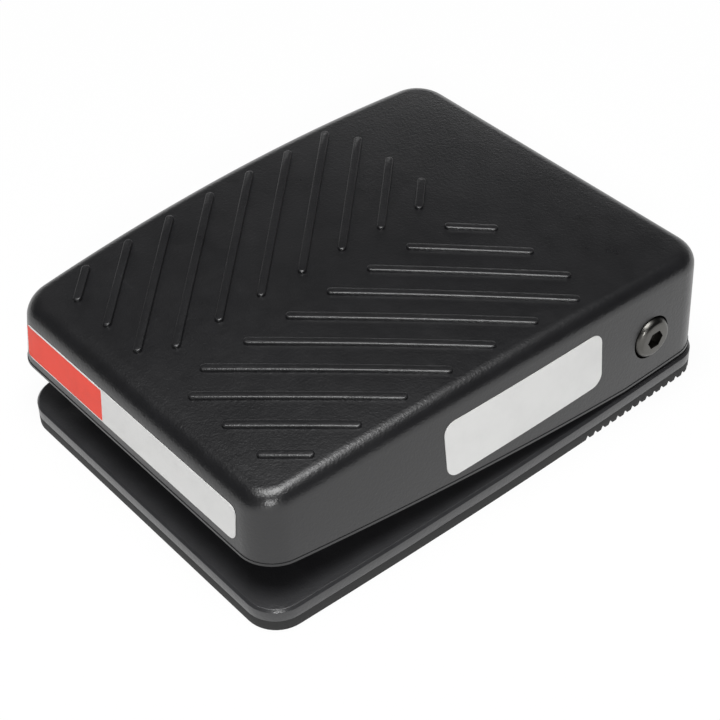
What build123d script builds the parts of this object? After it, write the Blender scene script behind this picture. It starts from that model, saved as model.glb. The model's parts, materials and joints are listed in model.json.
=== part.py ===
from build123d import *
import os
from math import radians, sin

# Industrial foot switch, in millimetres. X runs across it, -Y is the toe end, +Y the hinge
# and cable end, +Z is up. Z = 0 is the floor and the origin is the middle of the base.

os.makedirs("parts", exist_ok=True)

# Base and rubber sole
base_front = -56.0
base_rear = 56.0
base_end_half = 43.1
base_bow = 0.9
base_corner = 6.6
sole_thickness = 2.3
plate_thickness = 2.7
deck_edge = 0.5
tooth_pitch = 2.15
tooth_depth = 0.9
tooth_gap = 1.1
tooth_start_y = 22.5
grip_pitch = 4.0
grip_border = 6.0
grip_pad = 10.0

# Treadle outline inside the base's, at the skirt and at the crown
toe_inset = 1.1
heel_inset = 0.1
side_inset = 0.2
toe_taper = 2.3
treadle_bow = 1.5
toe_corner = 7.0
heel_corner = 7.6
crown_toe_inset = 3.2
crown_heel_inset = 0.2
crown_side_inset = 0.9
crown_toe_taper = 4.1
crown_bow = 1.8
crown_toe_corner = 6.2
crown_heel_corner = 8.6

# Treadle section
treadle_wall = 2.4
treadle_edge = 3.4
skirt_gap = 1.3
skirt_kink_y = 32.6
skirt_rise = 6.9
lip_height = 0.6
lip_proud = 0.35
crown_tilt = 1.6
crown_rise = 2.4

# Chevron ribs on the crown
rib_count = 10
rib_pitch = 10.05
rib_width = 1.7
rib_height = 0.65
rib_end_chamfer = 0.55
rib_first_apex = 16.9
rib_inner_x = 3.8
rib_side_x = 36.7
rib_side_flare = 0.036
rib_front_y = -45.4
rib_rear_y = 28.2

# Hinge
pivot_y = 39.6
pivot_height = 10.9
pivot_travel = 4.0
pivot_shank = 5.0
pivot_screw_length = 14.0
pivot_head = 8.8
pivot_head_height = 2.5
pivot_head_flat = 6.3
pivot_head_rim = 0.8
pivot_hex = 3.2
pivot_hex_depth = 1.7
pivot_head_sunk = 1.4
bushing_wall = 1.0
pivot_boss = 11.0
pivot_boss_depth = 4.3
post_thickness = 10.0
post_width = 12.0
post_chamfer = 3.5

# Clearances
running_gap = 0.05
side_gap = 0.3
touch_gap = 0.1

# Return spring
spring_y = -8.0
spring_diameter = 11.0
spring_wire = 1.3
spring_turns = 4
spring_pin = 8.0
spring_pin_length = 3.0

# Stops
down_stop_x = 24.0
down_stop_y = -44.0
stop_pad = 8.0
stop_boss = 7.0
down_stop_height = 4.0
stop_pocket = 1.5
rest_stop_depth = 5.0
rest_stop_height = 2.0
rest_seat_height = 12.0

# Snap-action switch: the plunger stands in front of the pivot axis
plunger_reach = 25.0
case_stand = 1.7
case_length = 27.8
case_height = 15.9
case_width = 10.3
case_front = 9.9
case_wall = 1.5
case_cover = 1.2
case_hole_inset = 2.8
case_boss = 5.6
plunger_stem = 3.0
plunger_proud = 2.1
plunger_collar = 5.0
plunger_collar_thickness = 1.2
plunger_nose = 1.2
arm_depth = 8.2
arm_contact_reach = 6.0
arm_width = 4.0
arm_thickness = 0.4
arm_eye = 2.2
arm_travel = 9.2
arm_pin = 1.0
contact_diameter = 3.0
contact_face = 0.5
rivet_diameter = 1.5
fixed_contact_height = 0.6
terminal_width = 4.75
terminal_thickness = 0.8
terminal_reach = 8.0
terminal_hole = 1.6
ear_thickness = 0.6
ear_gap = 0.2
ear_width = 1.8
switch_screw = 3.0
switch_screw_length = 14.0
switch_screw_flats = 5.5
switch_screw_head_height = 2.0
web_thickness = 4.0
web_margin = 1.5

# Adjusting screw in the treadle
adjuster = 4.0
adjuster_length = 4.0
adjuster_gap = 0.2
adjuster_cover = 1.6
adjuster_boss = 9.0
adjuster_boss_depth = 2.0
lock_nut_flats = 7.0
lock_nut_height = 1.4

# Cable entry and earth screw
cable_height = 7.0
cable_bore = 8.0
inlet_hole = 11.0
inlet_boss = 17.0
inlet_boss_inset = 0.6
inlet_boss_depth = 6.0
inlet_flange = 14.0
inlet_flange_thickness = 1.6
inlet_sleeve = 1.2
notch_gap = 1.2
earth_x = -20.0
earth_y = 27.0
earth_screw = 4.0
earth_screw_depth = 2.4
earth_head_flats = 7.0
earth_head_height = 2.8
earth_washer = 8.5
earth_washer_thickness = 0.8

# Blank stickers
label_thickness = 0.2
side_label_y = 6.3
side_label_drop = 8.9
side_label_length = 39.2
side_label_height = 12.7
side_label_corner = 2.6
side_label_tilt = 1.25
front_label_drop = 7.7
front_label_length = 68.8
front_label_height = 7.8
front_label_corner = 1.2

# Heights, worked up from the floor through the switch to the crown
deck_z = sole_thickness + plate_thickness
skirt_z = deck_z + skirt_gap
pivot_z = deck_z + pivot_height
cable_z = deck_z + cable_height
case_bottom_z = deck_z + case_stand
case_top_z = case_bottom_z + case_height
plunger_top_z = case_top_z + plunger_proud
adjuster_low_z = plunger_top_z + adjuster_gap
adjuster_top_z = adjuster_low_z + adjuster_length
adjuster_boss_z = adjuster_top_z - adjuster_boss_depth

# Plan places
treadle_front = base_front + toe_inset
treadle_rear = base_rear - heel_inset
treadle_half = base_end_half - side_inset
plunger_y = pivot_y - plunger_reach
profile_front = treadle_front - treadle_wall
profile_rear = treadle_rear + treadle_wall
profile_length = profile_rear - profile_front
plunger_share = (plunger_y - profile_front) / profile_length
crown_front_z = (
    adjuster_top_z + adjuster_cover - crown_tilt * plunger_share - 4 * crown_rise * plunger_share * (1 - plunger_share)
)
crown_rear_z = crown_front_z + crown_tilt
loft_top_z = crown_rear_z + crown_rise
pivot_seat_x = treadle_half - pivot_head_sunk
head_base_x = pivot_seat_x + touch_gap
boss_face_x = pivot_seat_x + pivot_head_sunk - pivot_boss_depth
post_face_x = boss_face_x - side_gap
post_x = post_face_x - post_thickness / 2
post_rear_y = pivot_y + post_width / 2
down_stop_top = deck_z + down_stop_height
down_drop = sin(radians(pivot_travel)) * (pivot_y - down_stop_y)
rest_seat_z = deck_z + rest_seat_height
rest_stop_y = post_rear_y + rest_stop_depth / 2 + touch_gap
rest_stop_top = rest_seat_z + rest_stop_height
inlet_rear = base_rear - inlet_boss_inset

# Switch places
case_cover_x = case_width / 2 - case_cover
case_start_y = plunger_y - case_front
case_end_y = case_start_y + case_length
hole_front = (case_start_y + case_hole_inset, case_top_z - case_hole_inset)
hole_rear = (case_end_y - case_hole_inset, case_bottom_z + case_hole_inset)
arm_z = case_top_z - arm_depth
arm_pivot_y = hole_rear[0] - case_boss / 2 - ear_width / 2 - ear_gap
arm_reach = arm_pivot_y - plunger_y
contact_y = plunger_y - arm_contact_reach
contact_travel = sin(radians(arm_travel)) * (arm_reach + arm_contact_reach + contact_diameter / 2)
terminal_end_x = -case_width / 2 - terminal_reach


def crown_z(y):
    """Height of the treadle's crowned outside at y."""
    share = (y - profile_front) / profile_length
    return crown_front_z + crown_tilt * share + 4 * crown_rise * share * (1 - share)


def plan_outline(front, rear, half_front, half_rear, bow, front_corner, rear_corner):
    """Rounded plan outline whose long sides bow outward."""
    middle = ((half_front + half_rear) / 2 + bow, (front + rear) / 2)
    with BuildSketch() as plan:
        with BuildLine():
            side = ThreePointArc((half_front, front), middle, (half_rear, rear))
            mirror(side, about=Plane.YZ)
            Line((-half_front, front), (half_front, front))
            Line((-half_rear, rear), (half_rear, rear))
        make_face()
        fillet(plan.vertices().group_by(Axis.Y)[-1], rear_corner)
        fillet(plan.vertices().group_by(Axis.Y)[0], front_corner)
    return plan.sketch


def base_outline():
    """Outline that the base and its sole share."""
    return plan_outline(base_front, base_rear, base_end_half, base_end_half, base_bow, base_corner, base_corner)


def side_profile(drop, skirt_lift=0.0):
    """Side view of the treadle: crowned top line over the kinked lower edge."""
    middle = (profile_front + profile_rear) / 2
    front_low = skirt_z + skirt_rise + skirt_lift
    rear_low = skirt_z + skirt_lift
    with BuildSketch() as profile:
        with BuildLine():
            ThreePointArc(
                (profile_front, crown_front_z - drop),
                (middle, crown_z(middle) - drop),
                (profile_rear, crown_rear_z - drop),
            )
            Polyline(
                (profile_rear, crown_rear_z - drop),
                (profile_rear, rear_low),
                (skirt_kink_y, rear_low),
                (profile_front, front_low),
                (profile_front, crown_front_z - drop),
            )
        make_face()
    return profile.sketch


def crown_band(top_drop, low_drop):
    """Side view of the layer between two levels that follow the crown."""
    with BuildSketch() as band:
        add(side_profile(top_drop))
        add(side_profile(low_drop), mode=Mode.SUBTRACT)
    return band.sketch


def treadle_form(inset=0.0, side_view=None):
    """Treadle envelope, lofted from the skirt's outline to the crown's and trimmed to a side view."""
    with BuildPart() as form:
        with BuildSketch(Plane.XY.offset(skirt_z)):
            add(
                plan_outline(
                    treadle_front + inset,
                    treadle_rear - inset,
                    treadle_half - toe_taper - inset,
                    treadle_half - inset,
                    treadle_bow,
                    toe_corner - inset,
                    heel_corner - inset,
                )
            )
        with BuildSketch(Plane.XY.offset(loft_top_z)):
            add(
                plan_outline(
                    base_front + crown_toe_inset + inset,
                    base_rear - crown_heel_inset - inset,
                    base_end_half - crown_side_inset - crown_toe_taper - inset,
                    base_end_half - crown_side_inset - inset,
                    crown_bow,
                    crown_toe_corner - inset,
                    crown_heel_corner - inset,
                )
            )
        loft(ruled=True)
        with BuildSketch(Plane.YZ):
            add(side_profile(0) if side_view is None else side_view)
        extrude(amount=2 * base_end_half, both=True, mode=Mode.INTERSECT)
    return form.part


def tombstone(x, y, radius, floor):
    """Round-topped upright on a floor line."""
    with BuildSketch() as arch:
        with Locations((x, y)):
            Circle(radius)
        with Locations((x, (y + floor) / 2)):
            Rectangle(2 * radius, y - floor)
    return arch.sketch


# Rubber sole: grip grooves under the front, open teeth along both edges at the rear

grip_rear = tooth_start_y - grip_border
grip_front = base_front + grip_border
grip_grooves = int((grip_rear - grip_front) / grip_pitch) + 1
tooth_grooves = int((base_rear - base_corner / 2 - tooth_start_y) / tooth_pitch) + 1
tooth_slope = 65

with BuildPart() as rubber_sole:
    with BuildSketch():
        add(base_outline())
    extrude(amount=sole_thickness)
    with BuildSketch(Plane.YZ.offset(-2 * base_end_half)):
        for index in range(tooth_grooves):
            with Locations((tooth_start_y + index * tooth_pitch, tooth_depth / 2)):
                Trapezoid(tooth_gap, tooth_depth, tooth_slope)
    extrude(amount=4 * base_end_half, mode=Mode.SUBTRACT)
    with BuildSketch():
        for index in range(grip_grooves):
            with Locations((0, grip_front + index * grip_pitch)):
                Rectangle(2 * (base_end_half - grip_border), grip_pitch / 2)
        Rectangle(grip_pad, grip_pad, mode=Mode.SUBTRACT)
    extrude(amount=tooth_depth, mode=Mode.SUBTRACT)

rubber_sole.part.label = "rubber_sole"
export_step(rubber_sole.part, "parts/rubber_sole.step")


# Base casting: deck with pivot posts and rest seats, switch web, cable boss and pockets

web_x = case_width / 2
web_front = case_start_y - web_margin
web_rear = case_end_y + web_margin
post_top_z = pivot_z + post_width / 2
post_front_y = pivot_y - post_width / 2
seat_rear_y = rest_stop_y + rest_stop_depth / 2 + touch_gap

with BuildPart() as base_casting:
    with BuildSketch(Plane.XY.offset(sole_thickness)):
        add(base_outline())
    extrude(amount=plate_thickness)
    chamfer(base_casting.faces().sort_by(Axis.Z)[-1].edges(), deck_edge)
    for side in (1, -1):
        with BuildSketch(Plane.YZ.offset(side * post_face_x)):
            with BuildLine():
                Polyline(
                    (post_front_y, deck_z),
                    (post_front_y, post_top_z - post_chamfer),
                    (post_front_y + post_chamfer, post_top_z),
                    (post_rear_y - post_chamfer, post_top_z),
                    (post_rear_y, post_top_z - post_chamfer),
                    (post_rear_y, rest_seat_z),
                    (seat_rear_y, rest_seat_z),
                    (seat_rear_y, deck_z),
                    close=True,
                )
            make_face()
            with Locations((pivot_y, pivot_z)):
                Circle(pivot_shank / 2, mode=Mode.SUBTRACT)
        extrude(amount=-side * post_thickness)
    with BuildSketch(Plane.YZ.offset(web_x)):
        with BuildLine():
            Polyline(
                (web_front, deck_z),
                (web_front, case_top_z),
                (hole_front[0] + case_boss, case_top_z),
                (web_rear, hole_rear[1] + case_boss),
                (web_rear, deck_z),
                close=True,
            )
        make_face()
        with Locations(hole_front, hole_rear):
            Circle(switch_screw / 2, mode=Mode.SUBTRACT)
    extrude(amount=web_thickness)
    with BuildSketch(Plane.XZ.offset(-inlet_rear)):
        add(tombstone(0, cable_z, inlet_boss / 2, deck_z))
        with Locations((0, cable_z)):
            Circle(inlet_hole / 2, mode=Mode.SUBTRACT)
    extrude(amount=inlet_boss_depth)
    with BuildSketch(Plane.XY.offset(deck_z)):
        with Locations((0, spring_y)):
            RegularPolygon(spring_pin / 2, 6)
    extrude(amount=spring_pin_length)
    with BuildSketch(Plane.XY.offset(deck_z)):
        with Locations((earth_x, earth_y)):
            Circle(earth_screw / 2)
    extrude(amount=-earth_screw_depth, mode=Mode.SUBTRACT)
    with BuildSketch(Plane.XY.offset(deck_z - stop_pocket)):
        with Locations((down_stop_x, down_stop_y), (-down_stop_x, down_stop_y)):
            Rectangle(stop_pad, stop_pad)
    extrude(amount=stop_pocket, mode=Mode.SUBTRACT)

base_casting.part.label = "base_casting"
export_step(base_casting.part, "parts/base_casting.step")


# Chevron ribs: each half's ribs are cut off by the field's centre, side, front and rear lines


def rib_ends(index):
    """Inner and outer x of one right-hand rib, whose line is y = apex + x."""
    apex = rib_first_apex - index * rib_pitch
    side_x = (rib_side_x + rib_side_flare * apex) / (1 - rib_side_flare)
    inner = max(rib_inner_x, rib_front_y - apex)
    outer = min(side_x, rib_rear_y - apex)
    return apex, inner, outer


with BuildPart() as chevron_ribs:
    with BuildSketch(Plane.XY.offset(crown_front_z - treadle_wall)) as rib_field:
        for index in range(rib_count):
            apex, inner, outer = rib_ends(index)
            middle = (inner + outer) / 2
            length = (outer - inner) * 2**0.5
            with Locations((middle, apex + middle)):
                Rectangle(length, rib_width, rotation=45)
            with Locations((-middle, apex + middle)):
                Rectangle(length, rib_width, rotation=-45)
        chamfer(rib_field.vertices(), rib_end_chamfer)
    extrude(amount=2 * treadle_wall + crown_tilt + 2 * crown_rise)
    with BuildSketch(Plane.YZ):
        add(crown_band(-rib_height, treadle_wall / 2))
    extrude(amount=2 * base_end_half, both=True, mode=Mode.INTERSECT)


# Uprights under the crown: stop blocks, pivot pads, spring pin and adjuster boss

spring_top_z = crown_z(spring_y - spring_diameter / 2 - spring_wire / 2) - treadle_wall - touch_gap
down_boss_z = down_stop_top + down_drop + side_gap
down_block_y = down_stop_y + stop_boss / 2
rest_boss_z = rest_stop_top + side_gap
rest_block_y = rest_stop_y - rest_stop_depth / 2 + side_gap

with BuildPart() as uprights:
    for side in (1, -1):
        with BuildSketch(Plane.XY.offset(down_boss_z)):
            with Locations((side * down_stop_x, (down_block_y + profile_front) / 2)):
                Rectangle(stop_boss, down_block_y - profile_front)
        extrude(amount=loft_top_z - down_boss_z)
        with BuildSketch(Plane.XY.offset(rest_boss_z)):
            with Locations((side * post_x, (rest_block_y + profile_rear) / 2)):
                Rectangle(stop_boss, profile_rear - rest_block_y)
        extrude(amount=loft_top_z - rest_boss_z)
        with BuildSketch(Plane.YZ.offset(side * boss_face_x)):
            with Locations((pivot_y, (pivot_z - pivot_boss / 2 + loft_top_z) / 2)):
                Rectangle(pivot_boss, loft_top_z - pivot_z + pivot_boss / 2)
        extrude(amount=side * pivot_boss_depth)
    with BuildSketch(Plane.XY.offset(spring_top_z - spring_pin_length)):
        with Locations((0, spring_y)):
            RegularPolygon(spring_pin / 2, 6)
    extrude(amount=loft_top_z - spring_top_z + spring_pin_length)
    with BuildSketch(Plane.XY.offset(adjuster_boss_z)):
        with Locations((0, plunger_y)):
            Rectangle(adjuster_boss, adjuster_boss)
    extrude(amount=loft_top_z - adjuster_boss_z)
    add(treadle_form(treadle_wall / 2, side_profile(treadle_wall / 2)), mode=Mode.INTERSECT)


# Treadle cover: hollow casting with the ribbed crown, lipped skirt and pivot seats

notch_radius = inlet_boss / 2 + notch_gap

with BuildPart() as treadle_cover:
    add(treadle_form())
    fillet(treadle_cover.faces().sort_by(Axis.Z)[-1].edges(), treadle_edge)
    with BuildSketch(mode=Mode.PRIVATE) as lip_view:
        add(side_profile(0))
        add(side_profile(0, lip_height), mode=Mode.SUBTRACT)
    add(treadle_form(-lip_proud, lip_view.sketch))
    add(treadle_form(treadle_wall, side_profile(treadle_wall)), mode=Mode.SUBTRACT)
    add(chevron_ribs.part)
    add(uprights.part)
    with BuildSketch(Plane.XZ.offset(-treadle_rear - treadle_wall)):
        add(tombstone(0, cable_z, notch_radius, 0))
    extrude(amount=3 * treadle_wall, mode=Mode.SUBTRACT)
    for side in (1, -1):
        with BuildSketch(Plane.YZ.offset(side * pivot_seat_x)):
            with Locations((pivot_y, pivot_z)):
                Circle(pivot_head / 2 + side_gap)
        extrude(amount=side * pivot_boss_depth, mode=Mode.SUBTRACT)
        with BuildSketch(Plane.YZ.offset(side * boss_face_x)):
            with Locations((pivot_y, pivot_z)):
                Circle(pivot_shank / 2 + running_gap + bushing_wall)
        extrude(amount=side * pivot_boss_depth, mode=Mode.SUBTRACT)
    with BuildSketch(Plane.XY.offset(adjuster_boss_z)):
        with Locations((0, plunger_y)):
            Circle(adjuster / 2)
    extrude(amount=adjuster_top_z - adjuster_boss_z, mode=Mode.SUBTRACT)

treadle_cover.part.label = "treadle_cover"
export_step(treadle_cover.part, "parts/treadle_cover.step")


# Pivot screws: button heads with a hex socket, one solid for each side

shank_end_x = head_base_x - pivot_screw_length
head_rim_x = head_base_x + pivot_head_rim
head_top_x = head_base_x + pivot_head_height
dome_x = (head_rim_x + 2 * head_top_x) / 3
dome_radius = (pivot_head + 2 * pivot_head_flat) / 6 + deck_edge / 2
pivot_axis = Axis((0, pivot_y, pivot_z), (1, 0, 0))

with BuildPart() as pivot_screws:
    with BuildSketch(Plane((0, pivot_y, pivot_z), x_dir=(1, 0, 0), z_dir=(0, -1, 0))):
        with BuildLine():
            Polyline(
                (shank_end_x, 0),
                (shank_end_x, pivot_shank / 2),
                (head_base_x, pivot_shank / 2),
                (head_base_x, pivot_head / 2),
                (head_rim_x, pivot_head / 2),
                (dome_x, dome_radius),
                (head_top_x, pivot_head_flat / 2),
                (head_top_x, 0),
                close=True,
            )
        make_face()
    revolve(axis=pivot_axis)
    with BuildSketch(Plane.YZ.offset(head_top_x)):
        with Locations((pivot_y, pivot_z)):
            RegularPolygon(pivot_hex / 2, 6, major_radius=False)
    extrude(amount=-pivot_hex_depth, mode=Mode.SUBTRACT)
    mirror(about=Plane.YZ)

pivot_screws.part.label = "pivot_screws"
export_step(pivot_screws.part, "parts/pivot_screws.step")


# Pivot bushings: sleeves pressed into the treadle's pivot pads

for side, place in ((1, "right"), (-1, "left")):
    with BuildPart() as pivot_bushing:
        with BuildSketch(Plane.YZ.offset(side * boss_face_x)):
            with Locations((pivot_y, pivot_z)):
                Circle(pivot_shank / 2 + running_gap + bushing_wall)
                Circle(pivot_shank / 2 + running_gap, mode=Mode.SUBTRACT)
        extrude(amount=side * (pivot_seat_x - boss_face_x))
    pivot_bushing.part.label = "pivot_bushing_" + place
    export_step(pivot_bushing.part, f"parts/pivot_bushing_{place}.step")


# Return spring with ground ends, held between the pins of the base and the treadle

with BuildPart() as return_spring:
    with BuildLine() as coil_path:
        Helix(
            pitch=(spring_top_z - deck_z) / spring_turns,
            height=spring_top_z - deck_z,
            radius=spring_diameter / 2,
            center=(0, spring_y, deck_z),
        )
    with BuildSketch(Plane(origin=coil_path.line @ 0, z_dir=coil_path.line % 0)):
        Rectangle(spring_wire, spring_wire)
    sweep(is_frenet=True)
    with BuildSketch(Plane.XY.offset(deck_z)):
        with Locations((0, spring_y)):
            Circle(spring_diameter)
    extrude(amount=spring_top_z - deck_z, mode=Mode.INTERSECT)

return_spring.part.label = "return_spring"
export_step(return_spring.part, "parts/return_spring.step")


# Rubber stops: down stops under the toe end, rest stops on the seats behind the hinge

for side, place in ((1, "right"), (-1, "left")):
    with BuildPart() as down_stop:
        with BuildSketch(Plane.XY.offset(deck_z - stop_pocket)):
            with Locations((side * down_stop_x, down_stop_y)):
                Rectangle(stop_pad, stop_pad)
        extrude(amount=stop_pocket + down_stop_height)
        chamfer(down_stop.faces().sort_by(Axis.Z)[-1].edges(), deck_edge)
    down_stop.part.label = "down_stop_" + place
    export_step(down_stop.part, f"parts/down_stop_{place}.step")

    with BuildPart() as rest_stop:
        with BuildSketch(Plane.XY.offset(rest_seat_z)):
            with Locations((side * post_x, rest_stop_y)):
                Rectangle(stop_pad, rest_stop_depth)
        extrude(amount=rest_stop_height)
        chamfer(rest_stop.faces().sort_by(Axis.Z)[-1].edges(), deck_edge)
    rest_stop.part.label = "rest_stop_" + place
    export_step(rest_stop.part, f"parts/rest_stop_{place}.step")


# Snap-action switch case: open on the side that faces the web, with two through bosses

cavity_bottom = case_bottom_z + case_wall
cavity_top = case_top_z - case_wall
arm_high_z = arm_z + arm_thickness / 2
arm_low_z = arm_z - arm_thickness / 2
closed_contact_z = arm_high_z + contact_face + touch_gap
open_contact_z = arm_low_z - contact_face - contact_travel - touch_gap - fixed_contact_height
closed_strip = (contact_y, closed_contact_z + fixed_contact_height)
open_strip = (contact_y, open_contact_z - terminal_thickness)
common_strip = (arm_pivot_y + ear_width / 2 - terminal_width / 2, cavity_bottom)


def case_outline(margin=0.0):
    """Side view of the switch case, taken in by a margin."""
    with BuildSketch() as outline:
        with Locations((case_start_y + case_length / 2, (case_bottom_z + case_top_z) / 2)):
            Rectangle(case_length - 2 * margin, case_height - 2 * margin)
    return outline.sketch


with BuildPart() as switch_case:
    with BuildSketch(Plane.YZ.offset(-case_width / 2)):
        add(case_outline())
    extrude(amount=case_width - case_cover)
    with BuildSketch(Plane.YZ.offset(-case_width / 2 + case_wall)):
        add(case_outline(case_wall))
        with Locations(hole_front, hole_rear):
            Rectangle(case_boss, case_boss, mode=Mode.SUBTRACT)
    extrude(amount=case_width, mode=Mode.SUBTRACT)
    with BuildSketch(Plane.YZ.offset(-case_width / 2)):
        with Locations(hole_front, hole_rear):
            Circle(switch_screw / 2 + running_gap)
    extrude(amount=case_width, mode=Mode.SUBTRACT)
    with BuildSketch(Plane.XY.offset(cavity_top)):
        with Locations((0, plunger_y)):
            Circle(plunger_stem / 2 + running_gap)
    extrude(amount=case_wall, mode=Mode.SUBTRACT)
    with BuildSketch(Plane.YZ.offset(-case_width / 2)):
        for strip_y, strip_z in (closed_strip, open_strip, common_strip):
            with Locations((strip_y, strip_z + terminal_thickness / 2)):
                Rectangle(terminal_width, terminal_thickness)
    extrude(amount=case_wall, mode=Mode.SUBTRACT)

switch_case.part.label = "switch_case"
export_step(switch_case.part, "parts/switch_case.step")

with BuildPart() as switch_cover:
    with BuildSketch(Plane.YZ.offset(case_cover_x)):
        add(case_outline())
        with Locations(hole_front, hole_rear):
            Circle(switch_screw / 2 + running_gap, mode=Mode.SUBTRACT)
    extrude(amount=case_cover)

switch_cover.part.label = "switch_cover"
export_step(switch_cover.part, "parts/switch_cover.step")


# Plunger: stem through the case, retaining collar, and the nose that bears on the arm

collar_top_z = cavity_top - touch_gap
collar_low_z = collar_top_z - plunger_collar_thickness

with BuildPart() as switch_plunger:
    with BuildSketch(Plane.XY.offset(collar_top_z)):
        with Locations((0, plunger_y)):
            Circle(plunger_stem / 2)
    extrude(amount=plunger_top_z - collar_top_z)
    with BuildSketch(Plane.XY.offset(collar_low_z)):
        with Locations((0, plunger_y)):
            RegularPolygon(plunger_collar / 2, 8)
    extrude(amount=plunger_collar_thickness)
    with BuildSketch(Plane.XY.offset(arm_high_z + touch_gap)):
        with Locations((0, plunger_y)):
            Rectangle(plunger_nose, plunger_nose)
    extrude(amount=collar_low_z - arm_high_z - touch_gap)
    chamfer(switch_plunger.faces().sort_by(Axis.Z)[-1].edges(), deck_edge)

switch_plunger.part.label = "switch_plunger"
export_step(switch_plunger.part, "parts/switch_plunger.step")


# Contact arm: flat blade that swings on the common terminal's pin, with a rolled eye

arm_end_y = contact_y - contact_diameter / 2

with BuildPart() as contact_arm:
    with BuildSketch(Plane.YZ.offset(-arm_width / 2)):
        with Locations((arm_pivot_y, arm_z)):
            Circle(arm_eye / 2)
        with Locations(((arm_pivot_y + arm_end_y) / 2, arm_z)):
            Rectangle(arm_pivot_y - arm_end_y, arm_thickness)
        with Locations((arm_pivot_y, arm_z)):
            Circle(arm_pin / 2 + running_gap, mode=Mode.SUBTRACT)
    extrude(amount=arm_width)
    with BuildSketch(Plane.XY.offset(arm_z - arm_thickness)):
        with Locations((0, contact_y)):
            Rectangle(rivet_diameter, rivet_diameter)
    extrude(amount=2 * arm_thickness, mode=Mode.SUBTRACT)

contact_arm.part.label = "contact_arm"
export_step(contact_arm.part, "parts/contact_arm.step")

with BuildPart() as moving_contact:
    with BuildSketch(Plane.XY.offset(arm_low_z)):
        with Locations((0, contact_y)):
            Rectangle(rivet_diameter, rivet_diameter)
    extrude(amount=arm_thickness)
    with BuildSketch(Plane.XY.offset(arm_high_z), Plane.XY.offset(arm_low_z - contact_face)):
        with Locations((0, contact_y)):
            RegularPolygon(contact_diameter / 2, 8)
    extrude(amount=contact_face)

moving_contact.part.label = "moving_contact"
export_step(moving_contact.part, "parts/moving_contact.step")


# Fixed contacts, and the terminals that leave through the case's far side

for low, name in ((closed_contact_z, "closed_contact"), (open_contact_z, "open_contact")):
    with BuildPart() as fixed_contact:
        with BuildSketch(Plane.XY.offset(low)):
            with Locations((0, contact_y)):
                RegularPolygon(contact_diameter / 2, 8)
        extrude(amount=fixed_contact_height)
    fixed_contact.part.label = name
    export_step(fixed_contact.part, f"parts/{name}.step")

strip_inner_x = arm_width / 2 + ear_gap + ear_thickness


def terminal_strip(strip_y, strip_z):
    """Flat terminal with a chamfered, pierced tab outside the case."""
    middle_x = (terminal_end_x + strip_inner_x) / 2
    with BuildPart() as strip:
        with BuildSketch(Plane.XY.offset(strip_z)) as blank:
            with Locations((middle_x, strip_y)):
                Rectangle(strip_inner_x - terminal_end_x, terminal_width)
            chamfer(blank.vertices().group_by(Axis.X)[0], terminal_thickness)
            with Locations((terminal_end_x + terminal_reach / 3, strip_y)):
                Rectangle(terminal_hole, terminal_hole, mode=Mode.SUBTRACT)
        extrude(amount=terminal_thickness)
    return strip.part


for (strip_y, strip_z), name in ((closed_strip, "closed_terminal"), (open_strip, "open_terminal")):
    with BuildPart() as terminal:
        add(terminal_strip(strip_y, strip_z))
    terminal.part.label = name
    export_step(terminal.part, f"parts/{name}.step")

ear_top_z = arm_z + ear_width / 2
ear_low_z = common_strip[1] + terminal_thickness

with BuildPart() as common_terminal:
    add(terminal_strip(*common_strip))
    for side in (1, -1):
        with BuildSketch(Plane.YZ.offset(side * (arm_width / 2 + ear_gap))):
            with Locations((arm_pivot_y, (ear_top_z + ear_low_z) / 2)):
                Rectangle(ear_width, ear_top_z - ear_low_z)
        extrude(amount=side * ear_thickness)
    with BuildSketch(Plane.YZ):
        with Locations((arm_pivot_y, arm_z)):
            Circle(arm_pin / 2)
    extrude(amount=arm_width / 2 + ear_gap, both=True)

common_terminal.part.label = "common_terminal"
export_step(common_terminal.part, "parts/common_terminal.step")


# Switch screws with hex heads, through the case into the web

with BuildPart() as switch_screws:
    with BuildSketch(Plane.YZ.offset(-case_width / 2)):
        with Locations(hole_front, hole_rear):
            Circle(switch_screw / 2)
    extrude(amount=switch_screw_length)
    with BuildSketch(Plane.YZ.offset(-case_width / 2)):
        with Locations(hole_front, hole_rear):
            RegularPolygon(switch_screw_flats / 2, 6, major_radius=False)
    extrude(amount=-switch_screw_head_height)

switch_screws.part.label = "switch_screws"
export_step(switch_screws.part, "parts/switch_screws.step")


# Adjusting screw over the plunger, with its lock nut under the treadle's boss

with BuildPart() as adjusting_screw:
    with BuildSketch(Plane.XY.offset(adjuster_low_z)):
        with Locations((0, plunger_y)):
            Circle(adjuster / 2)
    extrude(amount=adjuster_length)
    chamfer(adjusting_screw.faces().sort_by(Axis.Z)[0].edges(), deck_edge)

adjusting_screw.part.label = "adjusting_screw"
export_step(adjusting_screw.part, "parts/adjusting_screw.step")

with BuildPart() as lock_nut:
    with BuildSketch(Plane.XY.offset(adjuster_boss_z)):
        with Locations((0, plunger_y)):
            RegularPolygon(lock_nut_flats / 2, 6, major_radius=False)
            Circle(adjuster / 2, mode=Mode.SUBTRACT)
    extrude(amount=-lock_nut_height)

lock_nut.part.label = "lock_nut"
export_step(lock_nut.part, "parts/lock_nut.step")


# Cable inlet bushing, pressed into the rear boss from outside

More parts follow.
